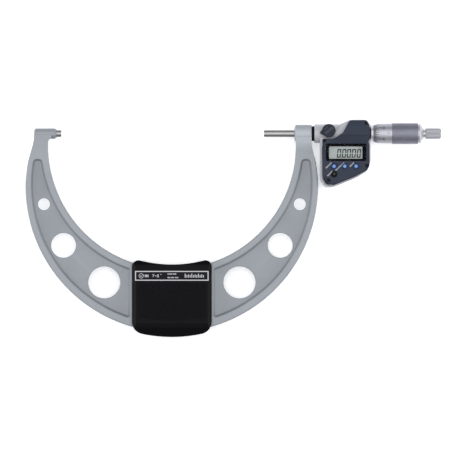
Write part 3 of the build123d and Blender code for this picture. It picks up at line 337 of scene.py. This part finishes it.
def ring(cx, cy, r0, r1, n=40):
    out = []
    for i in range(n):
        a, b = 2 * math.pi * i / n, 2 * math.pi * (i + 1) / n
        out.append([(cx + r0 * math.cos(a), cy + r0 * math.sin(a)), (cx + r1 * math.cos(a), cy + r1 * math.sin(a)),
                    (cx + r1 * math.cos(b), cy + r1 * math.sin(b)), (cx + r0 * math.cos(b), cy + r0 * math.sin(b))])
    return out


def arc_pts(cx, cy, rx, ry, a0, a1, n=10):
    return [(cx + rx * math.cos(math.radians(a0 + (a1 - a0) * i / n)), cy + ry * math.sin(math.radians(a0 + (a1 - a0) * i / n)))
            for i in range(n + 1)]


NUMERALS = {   # strokes in a box 0.6 wide and 1 high
    "0": [arc_pts(0.3, 0.5, 0.27, 0.47, 0, 360, 16)],
    "1": [[(0.12, 0.78), (0.34, 0.97), (0.34, 0.03)]],
    "2": [arc_pts(0.3, 0.70, 0.26, 0.27, 165, -30, 8) + [(0.04, 0.03), (0.58, 0.03)]],
    "3": [arc_pts(0.28, 0.73, 0.25, 0.24, 150, -90, 8), arc_pts(0.28, 0.27, 0.28, 0.25, 90, -150, 8)],
    "4": [[(0.46, 0.03), (0.46, 0.97), (0.03, 0.30), (0.60, 0.30)]],
    "5": [[(0.54, 0.97), (0.10, 0.97), (0.07, 0.54)] + arc_pts(0.28, 0.32, 0.28, 0.29, 110, -150, 9)],
    "6": [arc_pts(0.3, 0.30, 0.26, 0.27, 0, 360, 14), arc_pts(0.62, 0.30, 0.58, 0.68, 112, 180, 6)],
    "7": [[(0.04, 0.97), (0.58, 0.97), (0.22, 0.03)]],
    "8": [arc_pts(0.3, 0.74, 0.22, 0.22, 0, 360, 14), arc_pts(0.3, 0.27, 0.27, 0.25, 0, 360, 14)],
    "9": [arc_pts(0.3, 0.70, 0.26, 0.27, 0, 360, 14), arc_pts(-0.02, 0.70, 0.58, 0.68, -68, 0, 6)],
}


def numeral(text, x, y, h, w):
    """Strokes of a number starting at (x, y), h high, w thick."""
    out = []
    for ch in text:
        for line in NUMERALS.get(ch, []):
            out += ribbon([(x + a * h, y + b * h) for a, b in line], w)
        x += 0.8 * h
    return out


def wrapped(name, polys, radius, angle, body, mat, lift=0.035, sink=0.06, split=1.2):
    """Marks on a round part about the X axis: each polygon is (x, arc length), at angle (degrees, 90 is up)."""
    verts, faces = [], []
    for p, turn in polys:
        n, k = len(p), len(verts)
        for level in (-sink, lift):
            for x, s in p:
                r = radius(x)
                a = math.radians(angle + turn) - s / r
                verts.append((x, (r + level) * math.cos(a), (r + level) * math.sin(a)))
        faces.append(list(range(k, k + n))[::-1])
        faces.append(list(range(k + n, k + 2 * n)))
        faces += [[k + i, k + (i + 1) % n, k + n + (i + 1) % n, k + n + i] for i in range(n)]
    return piece(name, verts, faces, body, mat)


def axis_mark(x0, x1, w, step=0.6):
    """A line along the axis, cut in short lengths so that it follows a tapered part."""
    n = max(1, math.ceil((x1 - x0) / step))
    xs = [x0 + (x1 - x0) * i / n for i in range(n + 1)]
    return [[(a, -w / 2), (b, -w / 2), (b, w / 2), (a, w / 2)] for a, b in zip(xs, xs[1:])]


def lathe(name, profile, ripple, around, body, mat):
    """A turned ring about the X axis: profile is a closed loop of (x, r); ripple(x, angle) is taken off where r is outermost."""
    outer = max(r for _, r in profile) - 0.06
    verts, faces = [], []
    for x, r in profile:
        for i in range(around):
            a = 2 * math.pi * i / around
            q = r - (ripple(x, a) if r >= outer else 0.0)
            verts.append((x, q * math.cos(a), q * math.sin(a)))
    rows = len(profile)
    for j in range(rows):
        for i in range(around):
            a, b, n = j * around, ((j + 1) % rows) * around, (i + 1) % around
            faces.append([a + i, a + n, b + n, b + i])
    return piece(name, verts, faces, body, mat, smooth=False)


# ------------------------------------------------------------------ grip: diamond relief, label print
def grip_low(x):
    return -163.0 - 2.6 * math.cos((x - 97.05) / 30.85 * math.pi / 2)


def pyramids(name, z0, z1, body, mat, pitch=2.2):
    verts, faces = [], []
    row = 0
    y = -131.3
    while y > -166:
        x = 67.4 + (pitch / 2 if row % 2 else 0)
        while x < 126.9:
            if y - pitch * 0.5 > grip_low(x) + 0.1:
                h, t, k = pitch * 0.40, 0.40, len(verts)
                verts += [(x - h, y, z0), (x, y - h, z0), (x + h, y, z0), (x, y + h, z0)]
                verts += [(x - t, y, z1), (x, y - t, z1), (x + t, y, z1), (x, y + t, z1)]
                faces += [[k, k + 1, k + 2, k + 3][::-1], [k + 4, k + 5, k + 6, k + 7]]
                faces += [[k + i, k + (i + 1) % 4, k + 4 + (i + 1) % 4, k + 4 + i] for i in range(4)]
            x += pitch
        y -= pitch / 2
        row += 1
    return piece(name, verts, faces, body, mat)


panel_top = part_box("front_grip_cover")[1].z / MM
# the diamond tops get a lighter copy of the grip plastic: painted highlight
grip_diamond_highlight = surface("grip_diamond_highlight", (0.0050, 0.0048, 0.0066), 0.28, vary=0.2, grain=2600, bump=0.2, spec=0.07)
pyramids("grip_diamonds", panel_top - 0.02, panel_top + 0.34, "frame", grip_diamond_highlight)

label_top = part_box("label_plate")[1].z / MM
lx0, lx1, ly0, ly1, lw = 64.85, 129.25, -129.0, -120.5, 0.85
border = [rect(lx0, ly0, lx1, ly0 + lw), rect(lx0, ly1 - lw, lx1, ly1),
          rect(lx0, ly0 + lw, lx0 + lw, ly1 - lw), rect(lx1 - lw, ly0 + lw, lx1, ly1 - lw)]
prisms("label_border", border, label_top - 0.02, label_top + 0.07, "frame", EXTRA["print_white"])
marks = ring(70.3, -124.8, 1.75, 2.15) + ribbon([(69.3, -124.6), (70.1, -125.6), (71.5, -123.9)], 0.4)
marks += [rect(73.4 + 1.2 * i, -125.9, 73.4 + 1.2 * i + 0.8, -123.7) for i in range(3)]
marks += numeral("7", 80.0, -125.9, 2.3, 0.45) + [rect(82.1, -125.05, 83.5, -124.5)] + numeral("8", 84.3, -125.9, 2.3, 0.45)
marks += [rect(87.0 + 0.6 * i, -123.9, 87.3 + 0.6 * i, -123.2) for i in range(2)]
for j, (y, starts) in enumerate(((-123.2, (93.4, 95.0, 96.7, 98.3, 100.0)), (-126.3, (93.4, 95.0, 96.7, 98.3, 100.1, 101.8)))):
    marks += [rect(x, y - 0.5, x + (1.15 if (i + j) % 2 else 0.85), y + 0.55) for i, x in enumerate(starts)]
for i in range(12):     # a plain ruler motif
    x = 108.4 + i * 1.45
    marks.append(rect(x, -126.3, x + 0.75, -122.9 if i % 4 == 0 else -124.1 if i % 2 else -123.5))
prisms("label_print", marks, label_top - 0.02, label_top + 0.06, "frame", EXTRA["print_white"])

# ------------------------------------------------------------------ display: slanted seven-segment zeros
lcd_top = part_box("lcd_panel")[1].z / MM


def slanted(points, x, y, h):
    return [(x + px * h + 0.10 * (py - 0.5) * h, y + py * h) for px, py in points]


def segments(x, y, h, which):
    w, t = 0.455, 0.066     # half the digit's pitch box, half the stroke
    l, r, b, m, u, g = -w / 2, w / 2, 0.0, 0.5, 1.0, 0.012
    s = 2 * t
    shapes = {
        "a": [(l + g, u), (r - g, u), (r - s, u - s), (l + s, u - s)],
        "d": [(l + s, b + s), (r - s, b + s), (r - g, b), (l + g, b)],
        "f": [(l, u - g), (l + s, u - s - g), (l + s, m + g + t), (l, m + g)],
        "b": [(r, u - g), (r, m + g), (r - s, m + g + t), (r - s, u - s - g)],
        "e": [(l, m - g), (l + s, m - g - t), (l + s, b + s + g), (l, b + g)],
        "c": [(r, m - g), (r, b + g), (r - s, b + s + g), (r - s, m - g - t)],
        "g": [(l + g, m), (l + s, m + t), (r - s, m + t), (r - g, m), (r - s, m - t), (l + s, m - t)],
    }
    return [slanted(shapes[k], x, y, h) for k in which]


digits = []
for x in (243.6, 248.0, 252.2, 256.5, 260.9):
    digits += segments(x, -21.3, 7.6, "abcdef")
digits.append(rect(245.55, -21.4, 246.15, -20.8))
prisms("lcd_digits", digits, lcd_top - 0.02, lcd_top + 0.05, "frame", EXTRA["segment"])
units = [rect(259.7 + 0.62 * i, -13.05, 260.1 + 0.62 * i, -12.2) for i in range(4)]
prisms("lcd_marker", units, lcd_top - 0.02, lcd_top + 0.05, "frame", EXTRA["print_grey"])

# ------------------------------------------------------------------ buttons and their printed marks
def dome(name, x, y, z, r, h, body, mat):
    verts, faces, n = [], [], 32
    steps = 6
    for j in range(steps):
        t = j / steps * math.pi / 2
        for i in range(n):
            a = 2 * math.pi * i / n
            verts.append((x + r * math.cos(t) * math.cos(a), y + r * math.cos(t) * math.sin(a), z + h * math.sin(t)))
    verts.append((x, y, z + h))
    for j in range(steps - 1):
        for i in range(n):
            k, l = j * n + i, j * n + (i + 1) % n
            faces.append([k, l, l + n, k + n])
    top = len(verts) - 1
    faces += [[(steps - 1) * n + i, (steps - 1) * n + (i + 1) % n, top] for i in range(n)]
    faces.append(list(range(n))[::-1])
    return piece(name, verts, faces, body, mat, smooth=True)


BUTTONS = (("left_button", 239.1, -28.8), ("middle_button", 248.5, -28.8), ("right_button", 258.4, -28.8))
# light-blue domes on the three buttons: painted highlights
for name, x, y in BUTTONS:
    dome(name + "_pad", x, y, 13.64, 1.45, 0.14, name, EXTRA["button_highlight"])
# grey dot on the lower button: painted glint
dome("lower_button_pad", 239.3, -35.5, 13.64, 0.65, 0.12, "lower_button", EXTRA["button_glint"])

dashes = []
for (x0, y0), (x1, y1), cuts in (((231.9, -30.5), (237.1, -25.5), 5), ((240.4, -32.4), (248.2, -25.6), 8),
                                 ((252.9, -29.2), (256.6, -25.6), 4), ((233.3, -37.4), (237.9, -32.9), 5)):
    for i in range(cuts):
        a, b = (i + 0.06) / cuts, (i + (0.76 if i % 3 else 0.88)) / cuts
        dashes += ribbon([(x0 + (x1 - x0) * a, y0 + (y1 - y0) * a), (x0 + (x1 - x0) * b, y0 + (y1 - y0) * b)], 1.2)
prisms("button_marks", dashes, 13.18, 13.26, "frame", EXTRA["print_grey"])


# ------------------------------------------------------------------ thimble scale and sleeve scale
THIMBLE = [(273.8, 7.1), (276.2, 7.9), (279.7, 8.45), (283.2, 8.6), (286.8, 8.65), (290.1, 8.65)]


def thimble_r(x):
    for (xa, ra), (xb, rb) in zip(THIMBLE, THIMBLE[1:]):
        if x <= xb:
            return ra + (rb - ra) * max(0.0, x - xa) / (xb - xa)
    return THIMBLE[-1][1]


SCALE_TURN = 54.0      # the zero line's angle about the axis; 90 is straight up
scale_marks, scale_numbers = [], []
for i in range(50):
    main, half = i % 10 == 0, i % 2 == 1
    end = 281.2 if main else 276.6 if half else 278.3
    for p in axis_mark(274.1, end, 0.34 if half else 0.44):
        scale_marks.append((p, i * 360 / 50))
    if main:
        text = str(i // 2)
        for p in numeral(text, 282.2, -1.15, 2.3, 0.46):
            scale_numbers.append((p, i * 360 / 50))
wrapped("thimble_scale", scale_marks, thimble_r, SCALE_TURN, "spindle", EXTRA["etched"])
wrapped("thimble_numbers", scale_numbers, thimble_r, SCALE_TURN, "spindle", EXTRA["etched"])

sleeve = []
for p in axis_mark(272.9, 300.0, 0.20, step=3.0):
    sleeve.append((p, 0))
for i in range(41):
    x = 273.8 + 0.635 * i
    high = 2.6 if i % 4 == 0 else 1.5
    sleeve.append(([(x - 0.09, 0.1), (x + 0.09, 0.1), (x + 0.09, high), (x - 0.09, high)], 0))
for i in range(0, 41, 4):
    text = str(i // 4 % 10)
    for p in numeral(text, 273.8 + 0.635 * i - 0.45, 3.0, 1.5, 0.2):
        sleeve.append((p, 0))
wrapped("sleeve_scale", sleeve, lambda x: 6.6, SCALE_TURN, "frame", EXTRA["etched"], lift=0.02, sink=0.05)
# small set-screw spot on the thimble
spot = [(287.0 + 0.75 * math.cos(2 * math.pi * k / 20), 0.75 * math.sin(2 * math.pi * k / 20)) for k in range(20)]
wrapped("thimble_spot", [(spot, 0)], thimble_r, 88, "spindle", EXTRA["spot"], lift=0.03)


# ------------------------------------------------------------------ knurls
def diamond_knurl(depth, count, pitch, x0, x1):
    def f(x, a):
        if x < x0 + 0.25 or x > x1 - 0.25:
            return 0.0
        u = (a * count / (2 * math.pi) + (x - x0) / pitch) % 1.0
        v = (a * count / (2 * math.pi) - (x - x0) / pitch) % 1.0
        return depth * max(1 - 2 * min(u, 1 - u) * 2.2, 1 - 2 * min(v, 1 - v) * 2.2, 0.0)
    return f


gx0, gx1 = 290.1, 313.1
prof = [(290.1, 8.5), (290.1, 8.8), (290.5, 9.1)] + [(290.7 + 0.2 * i, 9.1) for i in range(110)] + [(312.7, 9.1), (313.1, 8.8), (313.1, 8.5)]
grip_ring = lathe("thimble_knurl", prof, diamond_knurl(0.06, 72, 0.80, 290.6, 312.6), 360, "spindle", MATS["knurled_steel"])
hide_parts("thimble_grip")


def flutes(depth, count, x0, x1):
    def f(x, a):
        if x < x0 or x > x1:
            return 0.0
        u = (a * count / (2 * math.pi)) % 1.0
        return depth * (1 - abs(2 * u - 1)) ** 0.7 if depth else 0.0
    return f


knob_prof = [(319.6, 3.65), (319.6, 4.25), (319.9, 4.575)] + [(320.2 + 0.4 * i, 4.575) for i in range(29)]
knob_prof += [(331.9, 4.52), (332.4, 4.42), (332.8, 4.25), (333.1, 4.02), (333.3, 3.75), (333.3, 2.9), (331.5, 2.9), (331.5, 1.55),
              (330.4, 1.55), (330.4, 3.65)]
knob_flutes = lathe("knob_flutes", knob_prof, flutes(0.14, 40, 320.1, 332.0), 240, "ratchet", KNOB_HIGHLIGHT)
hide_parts("ratchet_knob")

# ------------------------------------------------------------------ black strip at the head's right end: painted shade along the cover's edge
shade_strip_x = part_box("display_cover")[1].x / MM
shade_strip = []
for i in range(24):
    a, b = math.radians(-48 + 96 * i / 24), math.radians(-48 + 96 * (i + 1) / 24)
    def shade_strip_point(t, out):
        return (shade_strip_x - 0.25 + (0.95 * (math.cos(t) - math.cos(math.radians(48))) / (1 - math.cos(math.radians(48))) + 0.25) * out, 7.6 * math.sin(t))
    shade_strip.append([shade_strip_point(a, 0), shade_strip_point(a, 1), shade_strip_point(b, 1), shade_strip_point(b, 0)])
# black strip in rubber finish: painted shade along the cover's right edge
prisms("end_shade_strip", shade_strip, 7.6, 12.4, "frame", MATS["black_rubber"])

# ------------------------------------------------------------------ camera, lights, floor
cam = bpy.data.cameras.new("camera")
cam.lens, cam.sensor_width = 400, 36
cam.clip_end = 30
cam_ob = bpy.data.objects.new("camera", cam)
cam_ob.location = (0.14364, -0.08025, 4.39)
cam_ob.rotation_euler = (0, 0, 0)
bpy.context.scene.collection.objects.link(cam_ob)
bpy.context.scene.camera = cam_ob


def area(name, where, size, power, aim=(0.15, -0.08, 0)):
    light = bpy.data.lights.new(name, "AREA")
    light.shape = "RECTANGLE"
    light.size, light.size_y = size
    light.energy = power
    ob = bpy.data.objects.new(name, light)
    ob.location = where
    ob.rotation_euler = (Vector(where) - Vector(aim)).to_track_quat("Z", "Y").to_euler()
    bpy.context.scene.collection.objects.link(ob)
    return ob


area("soft_panel", (0.15, 0.4, 4.9), (6.4, 6.4), 250)
area("soft_left", (-1.7, -0.1, 0.55), (1.3, 1.0), 16)
area("soft_right", (2.0, -0.1, 0.60), (1.3, 1.0), 15)

world = bpy.data.worlds.new("studio")
bpy.context.scene.world = world
world.use_nodes = True
back = next(n for n in world.node_tree.nodes if n.type == "BACKGROUND")
back.inputs["Color"].default_value = (0.96, 0.98, 1.0, 1)
back.inputs["Strength"].default_value = 0.38

floor_mat = surface("floor_paper", (0.90, 0.90, 0.90), 0.8, vary=0.01, cloud=3, grain=300, bump=0.02, depth=0.0001, spec=0.2)
glow = next(n for n in floor_mat.node_tree.nodes if n.type == "BSDF_PRINCIPLED")
glow.inputs["Emission Color"].default_value = (0.97, 0.98, 1.0, 1)
glow.inputs["Emission Strength"].default_value = 0.36
me = bpy.data.meshes.new("floor")
bm = bmesh.new()
bmesh.ops.create_grid(bm, x_segments=8, y_segments=8, size=4.0)
for v in bm.verts:
    v.co.x += 0.15
    v.co.y -= 0.08
    v.co.z = cad_box[0][2] - 0.0002
bm.to_mesh(me)
bm.free()
floor = bpy.data.objects.new("floor", me)
bpy.context.scene.collection.objects.link(floor)
me.materials.append(floor_mat)

bpy.context.scene.view_settings.view_transform = "Standard"
bpy.context.scene.view_settings.look = "None"
bpy.context.scene.view_settings.exposure = 0
bpy.context.scene.view_settings.gamma = 1
